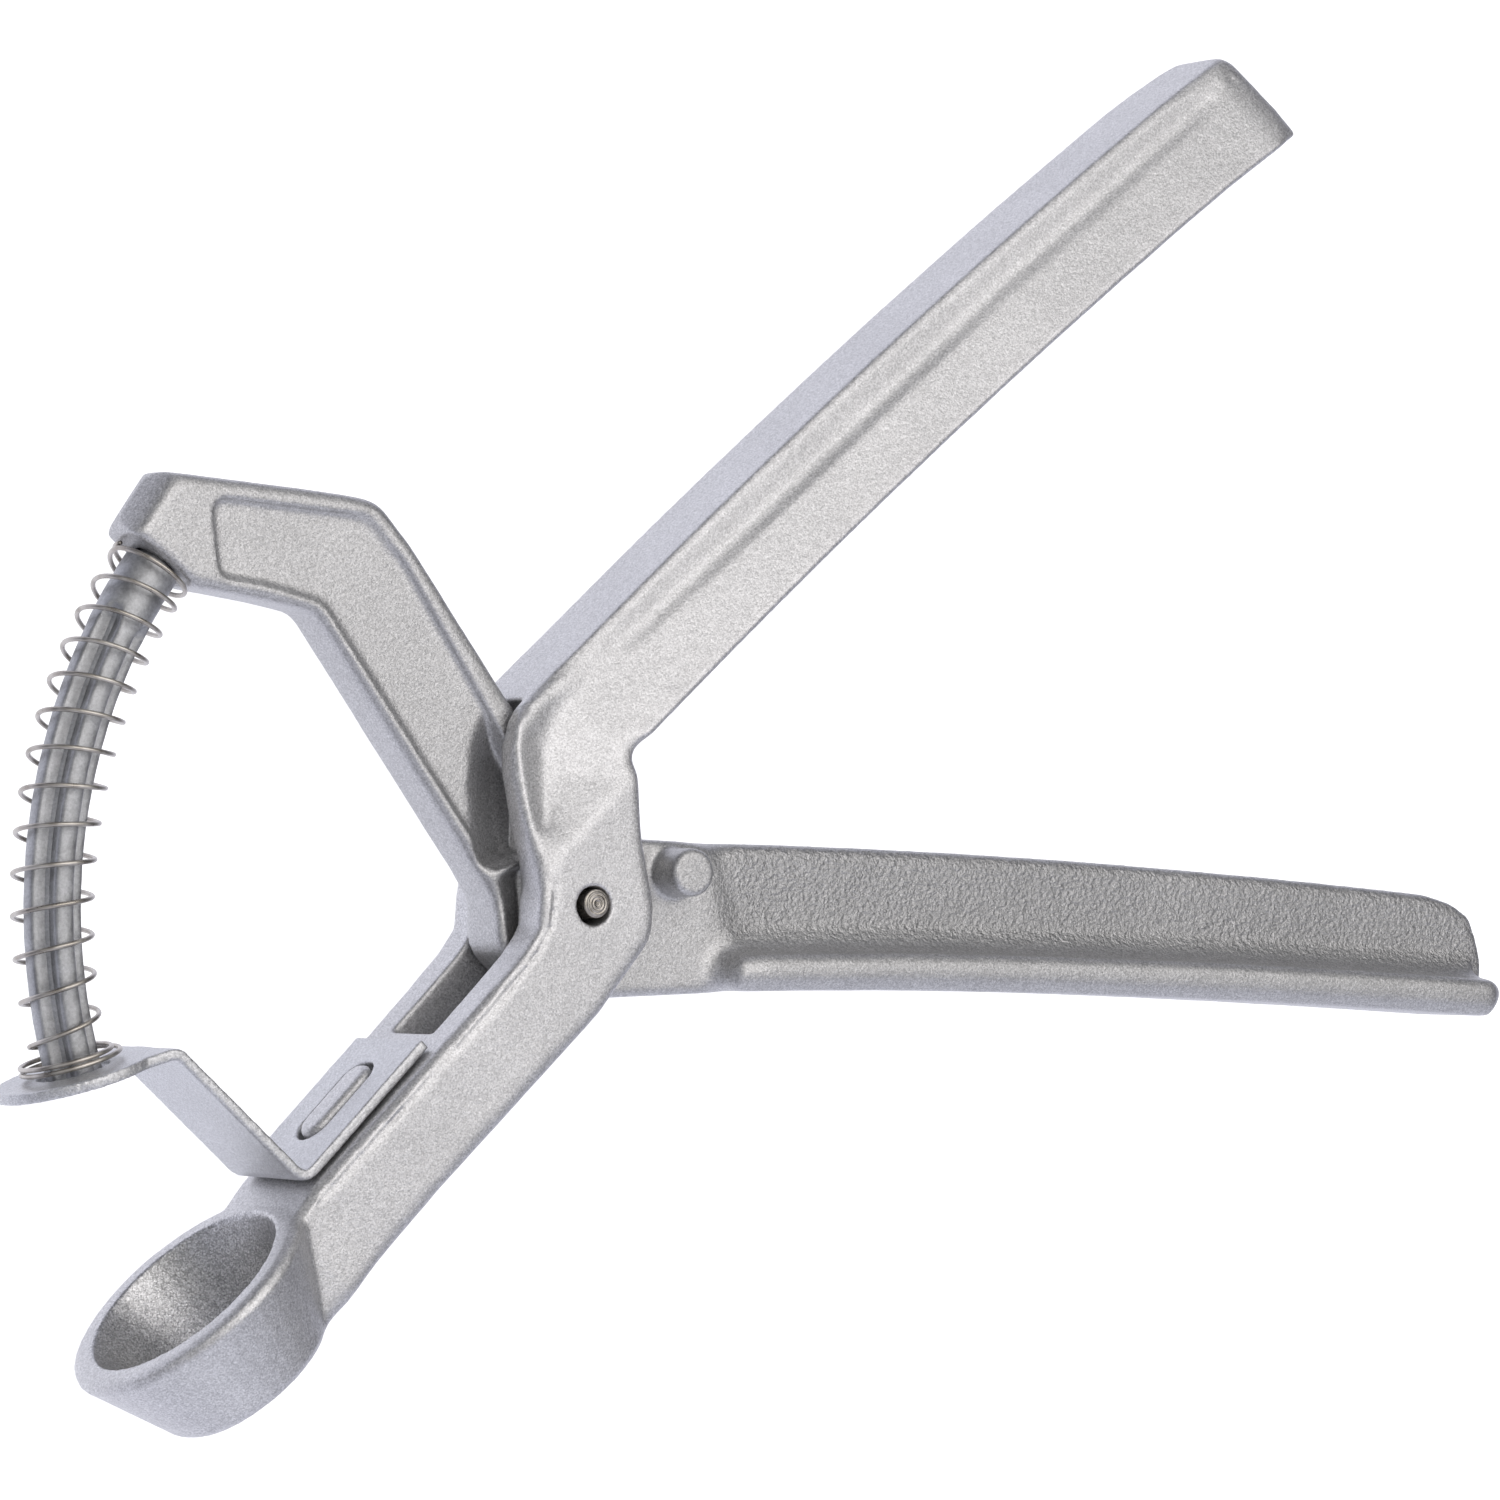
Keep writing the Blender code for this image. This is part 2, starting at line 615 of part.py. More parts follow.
def make_spring():
    """The compression spring, wound round the plunger's arc."""
    start = SEAT_ANGLE + math.degrees((GAP + WIRE_RADIUS) / ARC_RADIUS)
    end = PLATE_ANGLE - math.degrees((GAP + WIRE_RADIUS) / ARC_RADIUS)
    wire_pitch = math.degrees((2.0 * WIRE_RADIUS + 0.1) / ARC_RADIUS)
    per_turn = 10
    sides = 5
    closed_turns = 1.0
    base_turns = 2.0
    turns = closed_turns + SPRING_TURNS + base_turns
    active = end - start - wire_pitch * (closed_turns + base_turns)

    def station(turn):
        """Polar angle and coil radius after so many turns from the top."""
        if turn < closed_turns:
            return start + wire_pitch * turn, SPRING_TOP_RADIUS
        if turn > closed_turns + SPRING_TURNS:
            rest = turns - turn
            widen = min(1.0, (base_turns - rest) * 2.5)
            radius = SPRING_FOOT_RADIUS + (SPRING_BASE_RADIUS - SPRING_FOOT_RADIUS) * widen
            return end - wire_pitch * rest, radius
        share = (turn - closed_turns) / SPRING_TURNS
        radius = SPRING_TOP_RADIUS + (SPRING_FOOT_RADIUS - SPRING_TOP_RADIUS) * share ** 3
        along = share * (0.86 + 0.14 * share)
        return start + wire_pitch * closed_turns + active * along, radius

    def centre_of(turn):
        angle, radius = station(turn)
        outward = Vector((*polar(1.0, angle), 0.0))
        spin = -2.0 * math.pi * turn
        return outward * (ARC_RADIUS + radius * math.cos(spin)) + Vector((0, 0, radius * math.sin(spin)))

    rings = []
    count = round(turns * per_turn)
    for number in range(count + 1):
        turn = turns * number / count
        here = centre_of(turn)
        run = (centre_of(turn + 0.02) - centre_of(turn - 0.02)).normalized()
        angle, _ = station(turn)
        tangent = Vector((-math.sin(math.radians(angle)), math.cos(math.radians(angle)), 0.0))
        side = run.cross(tangent).normalized()
        lift = side.cross(run).normalized()
        ring = []
        for corner in range(sides):
            spoke = 2.0 * math.pi * corner / sides
            ring.append(here + (side * math.cos(spoke) + lift * math.sin(spoke)) * WIRE_RADIUS)
        rings.append(ring)
    spring = add_object("plunger_spring", rings)
    finish(spring, (0.5, 0.47, 0.42), 1.0, 0.3)
    return spring


def make_pivot_pin():
    """The pin that both castings turn on."""
    pin = cylinder("pivot_pin", (0.0, 0.0), PIN_RADIUS, PIN_HALF, sides=24, edge=0.25)
    finish(pin, (0.6, 0.6, 0.58), 1.0, 0.25)
    return pin


def main():
    for thing in list(bpy.data.objects):
        bpy.data.objects.remove(thing, do_unlink=True)
    make_body_casting()
    make_stripper_plate()
    make_lever_casting()
    make_plunger()
    make_spring()
    make_pivot_pin()


main()
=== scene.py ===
"""Looks of the cherry stoner: cast skins with soft edges and fine-grained silver paint."""

import json
import math

import bmesh
import bpy
import numpy as np
from mathutils import Matrix, Vector, noise


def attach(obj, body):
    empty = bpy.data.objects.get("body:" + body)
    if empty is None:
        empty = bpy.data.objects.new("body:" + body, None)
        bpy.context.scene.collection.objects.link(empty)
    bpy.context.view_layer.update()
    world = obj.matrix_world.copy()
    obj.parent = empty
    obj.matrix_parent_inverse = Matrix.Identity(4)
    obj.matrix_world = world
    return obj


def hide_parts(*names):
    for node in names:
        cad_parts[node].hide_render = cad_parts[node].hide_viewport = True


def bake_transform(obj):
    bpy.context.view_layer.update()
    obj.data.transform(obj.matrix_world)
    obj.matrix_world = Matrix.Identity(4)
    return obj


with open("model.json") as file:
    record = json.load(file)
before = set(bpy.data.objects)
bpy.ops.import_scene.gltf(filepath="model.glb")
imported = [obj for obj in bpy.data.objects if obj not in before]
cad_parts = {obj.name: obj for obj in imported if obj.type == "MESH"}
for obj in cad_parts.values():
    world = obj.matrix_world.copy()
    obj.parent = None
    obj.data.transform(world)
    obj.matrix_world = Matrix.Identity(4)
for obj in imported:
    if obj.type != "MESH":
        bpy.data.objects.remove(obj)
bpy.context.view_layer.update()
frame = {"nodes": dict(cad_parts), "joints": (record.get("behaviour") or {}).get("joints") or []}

MM = 0.001
PIVOT = Vector(frame["joints"][0]["pos_m"])

# Sizes are in millimetres and angles in degrees about the pivot, in the tool's plane.
ARC_RADIUS = 57.0
SEAT_ANGLE = 143.5
PLATE_ANGLE = 196.4
CUP_ANGLE = 221.9
CUP_DEPTH = 11.6
CUP_BORE_RADIUS = 11.2
CUP_BORE_TAPER = 3.8
PIN_SHIFT = (0.19, 0.15)
CASTING_VOXEL = 0.25
PLATE_VOXEL = 0.16
SHARP_ANGLE = 40.0
FAR = 1e9

# The camera's lens and sensor, its directions, and its place from the pivot in metres.
CAMERA_LENS = 168.0
CAMERA_SENSOR = 36.0
CAMERA_RIGHT = (0.8406, 0.0, 0.5417)
CAMERA_BACK = (-0.5416, -0.0161, 0.8405)
CAMERA_OFFSET = (-0.3715, 0.0043, 0.6144)

# The floor's half width and its height, in metres.
FLOOR_REACH = 4.0
FLOOR_HEIGHT = -0.0002

# The studio's brightness by height, from straight below (0) to straight above (1).
WORLD_STOPS = [
    (0.0, (0.90, 0.91, 1.0)), (0.26, (0.78, 0.79, 0.92)), (0.42, (0.16, 0.165, 0.20)),
    (0.60, (0.06, 0.06, 0.07)), (0.78, (0.26, 0.26, 0.26)), (1.0, (0.50, 0.49, 0.48)),
]
# Towards the front the studio is at least this bright.
FRONT_GLOW = (0.50, 0.51, 0.59)
FRONT_GLOW_RANGE = (-0.15, -0.55)
WORLD_STRENGTH = 1.25

# Each softbox: name, place in metres, size, watts and colour.
SOFTBOXES = [
    ("top_softbox", (0.07, 0.22, 0.80), (0.96, 0.64), 2.95, (1.0, 0.975, 0.97)),
    ("left_softbox", (-0.85, 0.25, 0.35), (0.6, 0.5), 0.5, (0.92, 0.94, 1.0)),
    ("front_softbox", (0.08, -0.90, 0.24), (0.9, 0.45), 0.6, (0.93, 0.94, 1.0)),
    ("back_softbox", (0.20, 0.90, 0.30), (0.8, 0.5), 0.7, (0.97, 0.97, 1.0)),
]


# ---------------------------------------------------------------- camera, floor, light

def add_camera():
    """The main view, from above and 33 degrees towards the cup's side."""
    data = bpy.data.cameras.new("camera")
    data.lens = CAMERA_LENS
    data.sensor_width = CAMERA_SENSOR
    data.clip_start = 0.01
    data.clip_end = 20.0
    camera = bpy.data.objects.new("camera", data)
    bpy.context.scene.collection.objects.link(camera)
    right = Vector(CAMERA_RIGHT).normalized()
    back = Vector(CAMERA_BACK)
    back = (back - right * back.dot(right)).normalized()
    up = back.cross(right)
    place = Matrix((right, up, back)).transposed().to_4x4()
    place.translation = PIVOT + Vector(CAMERA_OFFSET)
    camera.matrix_world = place
    bpy.context.scene.camera = camera


def add_floor():
    """A plain pale floor that reflections don't show."""
    mesh = bpy.data.meshes.new("floor")
    reach = FLOOR_REACH
    corners = [(-reach, -reach), (reach, -reach), (reach, reach), (-reach, reach)]
    mesh.from_pydata([(x, y, FLOOR_HEIGHT) for x, y in corners], [], [(0, 1, 2, 3)])
    floor = bpy.data.objects.new("floor", mesh)
    bpy.context.scene.collection.objects.link(floor)
    floor.visible_glossy = False
    material = bpy.data.materials.new("pale_floor")
    material.use_nodes = True
    shader = material.node_tree.nodes["Principled BSDF"]
    shader.inputs["Base Color"].default_value = (0.45, 0.45, 0.46, 1.0)
    shader.inputs["Roughness"].default_value = 0.9
    shader.inputs["Specular IOR Level"].default_value = 0.1
    shader.inputs["Emission Color"].default_value = (1.0, 1.0, 1.0, 1.0)
    shader.inputs["Emission Strength"].default_value = 0.92
    mesh.materials.append(material)


def fill_ramp(node, stops):
    """Set a colour ramp's stops."""
    elements = node.color_ramp.elements
    while len(elements) < len(stops):
        elements.new(0.5)
    for element, (position, color) in zip(elements, stops):
        element.position = position
        element.color = (*color, 1.0)


def add_world():
    """A studio that is pale below, dark at the horizon and grey above."""
    world = bpy.data.worlds.new("studio")
    bpy.context.scene.world = world
    world.use_nodes = True
    tree = world.node_tree
    backdrop = tree.nodes["Background"]
    place = tree.nodes.new("ShaderNodeTexCoord")
    split = tree.nodes.new("ShaderNodeSeparateXYZ")
    tree.links.new(place.outputs["Generated"], split.inputs["Vector"])
    height = tree.nodes.new("ShaderNodeMapRange")
    height.inputs["From Min"].default_value = -1.0
    tree.links.new(split.outputs["Z"], height.inputs["Value"])
    ramp = tree.nodes.new("ShaderNodeValToRGB")
    fill_ramp(ramp, WORLD_STOPS)
    tree.links.new(height.outputs["Result"], ramp.inputs["Fac"])
    side = tree.nodes.new("ShaderNodeMapRange")
    side.interpolation_type = "SMOOTHSTEP"
    side.inputs["From Min"].default_value, side.inputs["From Max"].default_value = FRONT_GLOW_RANGE
    tree.links.new(split.outputs["Y"], side.inputs["Value"])
    mix = tree.nodes.new("ShaderNodeMix")
    mix.data_type = "RGBA"
    mix.blend_type = "LIGHTEN"
    mix.inputs["B"].default_value = (*FRONT_GLOW, 1.0)
    tree.links.new(side.outputs["Result"], mix.inputs["Factor"])
    tree.links.new(ramp.outputs["Color"], mix.inputs["A"])
    tree.links.new(mix.outputs["Result"], backdrop.inputs["Color"])
    backdrop.inputs["Strength"].default_value = WORLD_STRENGTH


def add_softbox(name, place, size, watts, color):
    """A soft rectangular light that looks at the origin."""
    data = bpy.data.lights.new(name, "AREA")
    data.shape = "RECTANGLE"
    data.size, data.size_y = size
    data.energy = watts
    data.color = color
    light = bpy.data.objects.new(name, data)
    light.location = place
    light.rotation_euler = Vector(place).to_track_quat("Z", "Y").to_euler()
    bpy.context.scene.collection.objects.link(light)


# ---------------------------------------------------------------- materials

# Sizes of the paint's grains, and the spacing of the pin's turned rings.
FLAKE_SIZE = 0.13
GRAIN_SIZE = 0.22
PIT_SIZE = 0.36
WEB_PIT_SIZE = 0.5
CLOUD_SIZE = 9.0
RING_SPACING = 0.34
# The range that most of a noise texture's values fall in.
USUAL = (0.3, 0.7)


class Nodes:
    """A short way to write a node tree."""

    def __init__(self, name):
        self.material = bpy.data.materials.new(name)
        self.material.use_nodes = True
        self.tree = self.material.node_tree
        self.shader = self.tree.nodes["Principled BSDF"]
        self.place = self.add("ShaderNodeTexCoord").outputs["Object"]

    def add(self, kind, **values):
        node = self.tree.nodes.new(kind)
        for key, value in values.items():
            setattr(node, key, value)
        return node

    def link(self, source, target):
        self.tree.links.new(source, target)

    def noise(self, size_mm, detail=2.0, roughness=0.5):
        """Fractal noise with grains of about a size in millimetres."""
        node = self.add("ShaderNodeTexNoise")
        node.inputs["Scale"].default_value = 1.0 / (size_mm * MM)
        node.inputs["Detail"].default_value = detail
        node.inputs["Roughness"].default_value = roughness
        self.link(self.place, node.inputs["Vector"])
        return node.outputs["Fac"]

    def cells(self, size_mm):
        """One random grey for each small flake."""
        node = self.add("ShaderNodeTexVoronoi")
        node.inputs["Scale"].default_value = 1.0 / (size_mm * MM)
        self.link(self.place, node.inputs["Vector"])
        split = self.add("ShaderNodeSeparateColor")
        self.link(node.outputs["Color"], split.inputs["Color"])
        return split.outputs["Red"]

    def mark(self, name):
        """A value from 0 to 1 that the mesh's vertices carry."""
        return self.add("ShaderNodeAttribute", attribute_name=name).outputs["Fac"]

    def span(self, value, low, high, from_low=0.0, from_high=1.0):
        """Map a value's range to another, clamped at both ends."""
        node = self.add("ShaderNodeMapRange")
        node.inputs["From Min"].default_value = from_low
        node.inputs["From Max"].default_value = from_high
        node.inputs["To Min"].default_value = low
        node.inputs["To Max"].default_value = high
        self.link(value, node.inputs["Value"])
        return node.outputs["Result"]

    def math(self, operation, *values):
        """A math node on one or two values, each a number or a socket."""
        node = self.add("ShaderNodeMath", operation=operation)
        for socket, value in zip(node.inputs, values):
            if isinstance(value, (int, float)):
                socket.default_value = value
            else:
                self.link(value, socket)
        return node.outputs["Value"]

    def ramp(self, value, stops):
        node = self.add("ShaderNodeValToRGB")
        fill_ramp(node, stops)
        self.link(value, node.inputs["Fac"])
        return node.outputs["Color"]

    def tinted(self, value, tint):
        """A colour from a grey value and its share in each channel."""
        color = self.add("ShaderNodeCombineColor")
        for channel, share in zip(("Red", "Green", "Blue"), tint):
            self.link(self.math("MULTIPLY", value, share), color.inputs[channel])
        return color.outputs["Color"]

    def bump(self, height, distance_mm, strength=1.0, before=None):
        node = self.add("ShaderNodeBump")
        node.inputs["Strength"].default_value = strength
        node.inputs["Distance"].default_value = distance_mm * MM
        self.link(height, node.inputs["Height"])
        if before is not None:
            self.link(before, node.inputs["Normal"])
        return node.outputs["Normal"]

    def finish(self, color, roughness, normal, metallic):
        """Join colour, roughness and relief to the shader."""
        self.link(color, self.shader.inputs["Base Color"])
        self.link(roughness, self.shader.inputs["Roughness"])
        self.link(normal, self.shader.inputs["Normal"])
        self.shader.inputs["Metallic"].default_value = metallic
        return self.material


def paint(name, tint, level, contrast, pits, rough_web=False, painted_cup_shade=False):
    """Silver powder paint: tiny bright and dark flakes over a faintly uneven coat, and painted
    shade inside the cup if asked.
    """
    n = Nodes(name)
    flakes = n.cells(FLAKE_SIZE)
    grains = n.noise(GRAIN_SIZE, detail=3.0, roughness=0.65)
    cloud = n.noise(CLOUD_SIZE, detail=2.0)
    value = n.span(flakes, level * (1.0 - contrast), level * (1.0 + contrast))
    value = n.math("MULTIPLY", value, n.span(grains, 0.78, 1.22, *USUAL))
    value = n.math("MULTIPLY", value, n.span(cloud, 0.965, 1.035, *USUAL))
    relief = n.bump(n.noise(PIT_SIZE, detail=2.0), pits, 0.9)
    if rough_web:
        # The lower handle's web has a coarser, duller coat than the rest of the casting.
        web = n.mark("web")
        value = n.math("MULTIPLY", value, n.span(web, 1.0, 0.84))
        pitting = n.math("MULTIPLY", n.noise(WEB_PIT_SIZE, detail=2.5, roughness=0.6), web)
        relief = n.bump(pitting, 0.24, 1.0, before=relief)
    gloss = n.span(grains, 0.36, 0.56, *USUAL)
    if painted_cup_shade:
        # Inside the cup the paint is darkened as painted shade, with stronger flake speckle as
        # painted highlights, and it is shinier.
        shaded_inside = n.mark("painted_cup_shade")
        highlight_speck = n.math("MULTIPLY", shaded_inside, n.span(flakes, -0.2, 0.2))
        value = n.math("MULTIPLY", value, n.math("ADD", n.span(shaded_inside, 1.0, 0.86), highlight_speck))
        gloss = n.math("SUBTRACT", gloss, n.span(shaded_inside, 0.0, 0.12))
    return n.finish(n.tinted(value, tint), gloss, n.bump(grains, 0.045, 0.8, before=relief), 0.90)


def bare_cast(name):
    """Bare die-cast aluminium, rubbed dull."""
    n = Nodes(name)
    grains = n.noise(0.30, detail=4.0, roughness=0.7)
    cloud = n.noise(2.6, detail=3.0, roughness=0.6)
    value = n.math("MULTIPLY", n.span(grains, 0.80, 1.20, *USUAL),
                   n.span(cloud, 0.74, 1.20, *USUAL))
    coarse = n.bump(n.noise(0.9, detail=3.0), 0.05, 0.8)
    return n.finish(n.tinted(value, (0.44, 0.445, 0.455)), n.span(cloud, 0.40, 0.60, *USUAL),
                    n.bump(grains, 0.03, 0.7, before=coarse), 0.95)


def wire_steel(name):
    """Drawn spring wire, slightly straw-coloured."""
    n = Nodes(name)
    patches = n.noise(1.8, detail=3.0)
    color = n.ramp(patches, [(0.35, (0.36, 0.33, 0.29)), (0.65, (0.60, 0.57, 0.52))])
    return n.finish(color, n.span(patches, 0.24, 0.40, *USUAL),
                    n.bump(n.noise(0.12, detail=3.0), 0.008, 0.6), 1.0)


def turned_steel(name):
    """Turned pin steel with fine rings round its axis."""
    n = Nodes(name)
    split = n.add("ShaderNodeSeparateXYZ")
    n.link(n.place, split.inputs["Vector"])
    squares = []
    for axis, shift in zip("XY", PIN_SHIFT):
        off_axis = n.math("SUBTRACT", split.outputs[axis], shift * MM)
        squares.append(n.math("MULTIPLY", off_axis, off_axis))
    radius = n.math("SQRT", n.math("ADD", *squares))
    rings = n.math("SINE", n.math("MULTIPLY", radius, 2.0 * math.pi / (RING_SPACING * MM)))
    patches = n.noise(0.5, detail=4.0)
    color = n.ramp(patches, [(0.3, (0.30, 0.275, 0.24)), (0.7, (0.50, 0.47, 0.43))])
    return n.finish(color, n.span(patches, 0.24, 0.40, *USUAL), n.bump(rings, 0.03, 0.9), 1.0)


# ---------------------------------------------------------------- geometry helpers

def polar(radius, degrees):
    angle = math.radians(degrees)
    return Vector((radius * math.cos(angle), radius * math.sin(angle), 0.0))


def smooth(share):
    """Ease a share between 0 and 1 in and out."""
    return share * share * (3.0 - 2.0 * share)


def mesh_object(name, bm):
    """A new object at the pivot from geometry given in millimetres about the pivot."""
    mesh = bpy.data.meshes.new(name)
    bmesh.ops.recalc_face_normals(bm, faces=bm.faces)
    bm.to_mesh(mesh)
    bm.free()
    mesh.transform(Matrix.Scale(MM, 4))
    thing = bpy.data.objects.new(name, mesh)
    thing.location = PIVOT
    bpy.context.scene.collection.objects.link(thing)
    return thing


def loft(name, rings):
    """Bridge rings of points into one closed solid."""
    bm = bmesh.new()
    loops = [[bm.verts.new(point) for point in ring] for ring in rings]
    count = len(loops[0])
    for lower, upper in zip(loops, loops[1:]):
        for index in range(count):
            after = (index + 1) % count
            bm.faces.new((lower[index], lower[after], upper[after], upper[index]))
    bm.faces.new(list(reversed(loops[0])))
    bm.faces.new(loops[-1])
    return mesh_object(name, bm)


def copy_of_node(name, node):
    """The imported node's closed shape as a new object at the pivot."""
    bm = bmesh.new()
    bm.from_mesh(frame["nodes"][node].data)
    bmesh.ops.remove_doubles(bm, verts=bm.verts, dist=1e-6)
    bmesh.ops.translate(bm, verts=bm.verts, vec=-PIVOT)
    bmesh.ops.scale(bm, verts=bm.verts, vec=(1.0 / MM,) * 3)
    return mesh_object(name, bm)


def both_sides(make):
    """Make a helper solid on the near side and its mirror image on the far side."""
    return [make("near", 1.0), make("far", -1.0)]


def read_rows(items, name):
    """A three-part property of many items, such as positions, one row each."""
    rows = np.empty(len(items) * 3)
    items.foreach_get(name, rows)
    return rows.reshape(-1, 3)


def mark_vertices(mesh, name, values):
    """Store one value for each vertex, for a material to read."""
    mark = mesh.attributes.new(name, "FLOAT", "POINT")
    mark.data.foreach_set("value", values)


def legs(points, line):
    """For each leg of a polyline: its run, and every point's offset and distance."""
    spots = points[:, :2]
    for first, last in zip(line, line[1:]):
        first, run = np.array(first), np.array(last) - np.array(first)
        share = np.clip(((spots - first) @ run) / (run @ run), 0.0, 1.0)
        away = spots - (first + share[:, None] * run)
        yield run, away, np.linalg.norm(away, axis=1)


def near_line(points, line, reach):
    """1 on a polyline in the tool's plane, falling smoothly to 0 at a reach."""
    nearest = np.full(len(points), FAR)
    for _, _, gap in legs(points, line):
        nearest = np.minimum(nearest, gap)
    return smooth(np.clip(1.0 - nearest / reach, 0.0, 1.0))


def beside(points, line):
    """Distance to a polyline's left side in the tool's plane, negative on its right."""
    nearest, signed = np.full(len(points), FAR), np.zeros(len(points))
    for run, away, gap in legs(points, line):
        left = run[0] * away[:, 1] - run[1] * away[:, 0] > 0.0
        closer = gap < nearest
        signed[closer] = np.where(left, gap, -gap)[closer]
        nearest = np.minimum(nearest, gap)
    return signed


def relax(place, edges, weights, rounds):
    """Pull points towards their neighbours, each by its own weight."""
    count = len(place)
    ends = np.concatenate([edges[:, 0], edges[:, 1]])
    others = np.concatenate([edges[:, 1], edges[:, 0]])
    degree = np.bincount(ends, minlength=count)
    pull = (0.5 * weights)[:, None]
    for _ in range(rounds):
        sums = [np.bincount(ends, place[others, axis], count) for axis in range(3)]
        place += pull * (np.stack(sums, axis=1) / degree[:, None] - place)


def press(place, region, limit):
    """Hold a region's faces within a distance of the tool's middle plane."""
    held = np.minimum(np.abs(place[:, 2]), limit)
    place[:, 2] = np.where(region, np.sign(place[:, 2]) * held, place[:, 2])


def fuse(base, added, removed, voxel_mm):
    """Cut grooves from a solid, add fillets, and remesh it all as one closed skin."""
    for tool in removed:
        cut = base.modifiers.new("cut", "BOOLEAN")
        cut.operation = "DIFFERENCE"
        cut.solver = "EXACT"
        cut.object = tool
    bpy.context.view_layer.update()
    graph = bpy.context.evaluated_depsgraph_get()
    bm = bmesh.new()
    bm.from_mesh(base.evaluated_get(graph).to_mesh())
    for tool in added:
        bm.from_mesh(tool.evaluated_get(graph).to_mesh())
    whole = bpy.data.meshes.new(base.name + "_fused")
    bm.to_mesh(whole)
    bm.free()
    base.modifiers.clear()
    base.data = whole
    remesh = base.modifiers.new("fuse", "REMESH")
    remesh.mode = "VOXEL"
    remesh.voxel_size = voxel_mm * MM
    remesh.adaptivity = 0.0
    bpy.context.view_layer.update()
    graph = bpy.context.evaluated_depsgraph_get()
    skin = bpy.data.meshes.new_from_object(base.evaluated_get(graph))
    base.modifiers.clear()
    base.data = skin
    skin.name = base.name
    for tool in added + removed:
        bpy.data.objects.remove(tool, do_unlink=True)
    return skin


def cast_skin(name, node, voxel_mm, rounds, roughen, added=(), removed=(), soft_lines=(),
              shape=None, crisp=None):
    """A node's skin: fused with its fillets and grooves, shaped, then rounded like a casting."""
    base = copy_of_node(name, node)
    skin = fuse(base, list(added), list(removed), voxel_mm)
    place = read_rows(skin.vertices, "co") / MM
    edges = np.empty(len(skin.edges) * 2, dtype=int)
    skin.edges.foreach_get("vertices", edges)
    edges = edges.reshape(-1, 2)
    if shape:
        shape(place)
    for line, reach, strength in soft_lines:
        relax(place, edges, near_line(place, line, reach), strength)
    relax(place, edges, crisp(place) if crisp else np.ones(len(place)), rounds)
    skin.vertices.foreach_set("co", (place * MM).ravel())
    skin.update()
    place += read_rows(skin.vertex_normals, "vector") * roughen(place)[:, None]
    skin.vertices.foreach_set("co", (place * MM).ravel())
    skin.update()
    skin.shade_smooth()
    return base


def grain(points, size_mm, seed):
    """Smooth noise from -1 to 1 at points in millimetres."""
    shift = Vector((seed * 17.3, seed * 5.1, seed * 9.7))
    return np.array([noise.noise(Vector(point) / size_mm + shift) for point in points])


def done(thing, material, body, slot, *nodes):
    """Give a piece its material and body, and hide the nodes it stands for; the slot is not used.
    """
    thing.data.materials.clear()
    thing.data.materials.append(material)
    if body:
        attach(thing, body)
    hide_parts(*nodes)
    return thing


# ---------------------------------------------------------------- body casting

# The groove's line: x, y and the height of the face that it is cut in.
GROOVE = [
    (-4.7, 4.6, 9.0), (-4.75, 2.8, 9.0), (-4.8, 0.5, 9.0), (-5.2, -2.1, 9.0),
    (-6.6, -4.5, 9.0), (-8.2, -6.4, 9.0), (-12.1, -10.4, 8.95), (-17.7, -15.85, 8.73),
    (-23.85, -21.85, 8.5), (-30.95, -28.85, 8.0), (-32.3, -30.4, 8.0),
]
GROOVE_HALF = 0.42
GROOVE_END_HALF = 0.10

# The bend of the rim: y, front edge, crest x and height, valley x and height.
BEND = [
    (2.6, -6.5, -5.9, 8.95, -5.2, 8.9), (4.4, -6.6, -6.1, 8.7, -5.5, 8.6),
    (6.0, -7.0, -6.4, 8.35, -5.5, 8.1), (9.5, -7.9, -7.2, 7.75, -5.1, 7.0),
    (13.0, -8.35, -7.6, 7.15, -4.5, 6.1), (17.0, -8.25, -7.4, 6.65, -4.1, 5.6),
    (20.5, -6.5, -4.6, 6.1, -2.0, 5.6), (24.5, -1.2, 1.0, 5.6, 2.5, 5.45),
]
BEND_FOOT = 4.6
BEND_TOP_Y = 20.5

# Lines in the tool's plane along which the body's edges are softer.
HUB_EDGE = [(5.2, 15.2), (6.1, 7.0), (7.6, -0.4), (7.2, -3.6), (0.9, -11.2), (-5.4, -17.2),
            (-17.2, -28.4), (-24.4, -35.9), (-29.0, -41.0)]
HUB_CORNER = [(4.6, 15.4), (6.4, 15.6)]
HANDLE_END = [(79.5, 89.2), (82.6, 91.3), (84.6, 91.0), (88.4, 87.0), (90.4, 83.8)]
HANDLE_LOWER_CORNER = [(90.2, 83.8), (90.6, 84.2)]
HANDLE_UPPER_CORNER = [(84.0, 91.2), (85.0, 90.8)]
BEND_CREST = [(station[2], station[0]) for station in BEND]
BEND_VALLEY = [(station[4], station[0]) for station in BEND]
BOSS_EDGE = [(5.3, 15.6), (0.8, 11.9), (-2.7, 8.6), (-4.8, 6.8)]
VALLEY_END = [(-4.4, 9.6), (-2.8, 8.2)]
BAND_EDGE = [(-0.8, 21.5), (4.0, 25.8), (28.0, 45.5), (51.9, 65.3), (66.6, 76.6), (80.0, 87.0)]
CUP_FOLD = [(-33.6, -32.0), (-31.5, -36.5), (-29.0, -41.0)]

# Each softened line of the body, with its reach and the number of rounds.
BODY_SOFT_LINES = [
    (HUB_EDGE, 2.6, 50), (HUB_CORNER, 2.4, 60), (HANDLE_END, 3.0, 14),
    (HANDLE_LOWER_CORNER, 3.4, 120), (HANDLE_UPPER_CORNER, 3.2, 60), (BEND_CREST, 1.2, 10),
    (BEND_VALLEY, 2.1, 70), (BOSS_EDGE, 2.3, 50), (VALLEY_END, 2.6, 60), (BAND_EDGE, 1.7, 26),
    (CUP_FOLD, 2.0, 16),
]

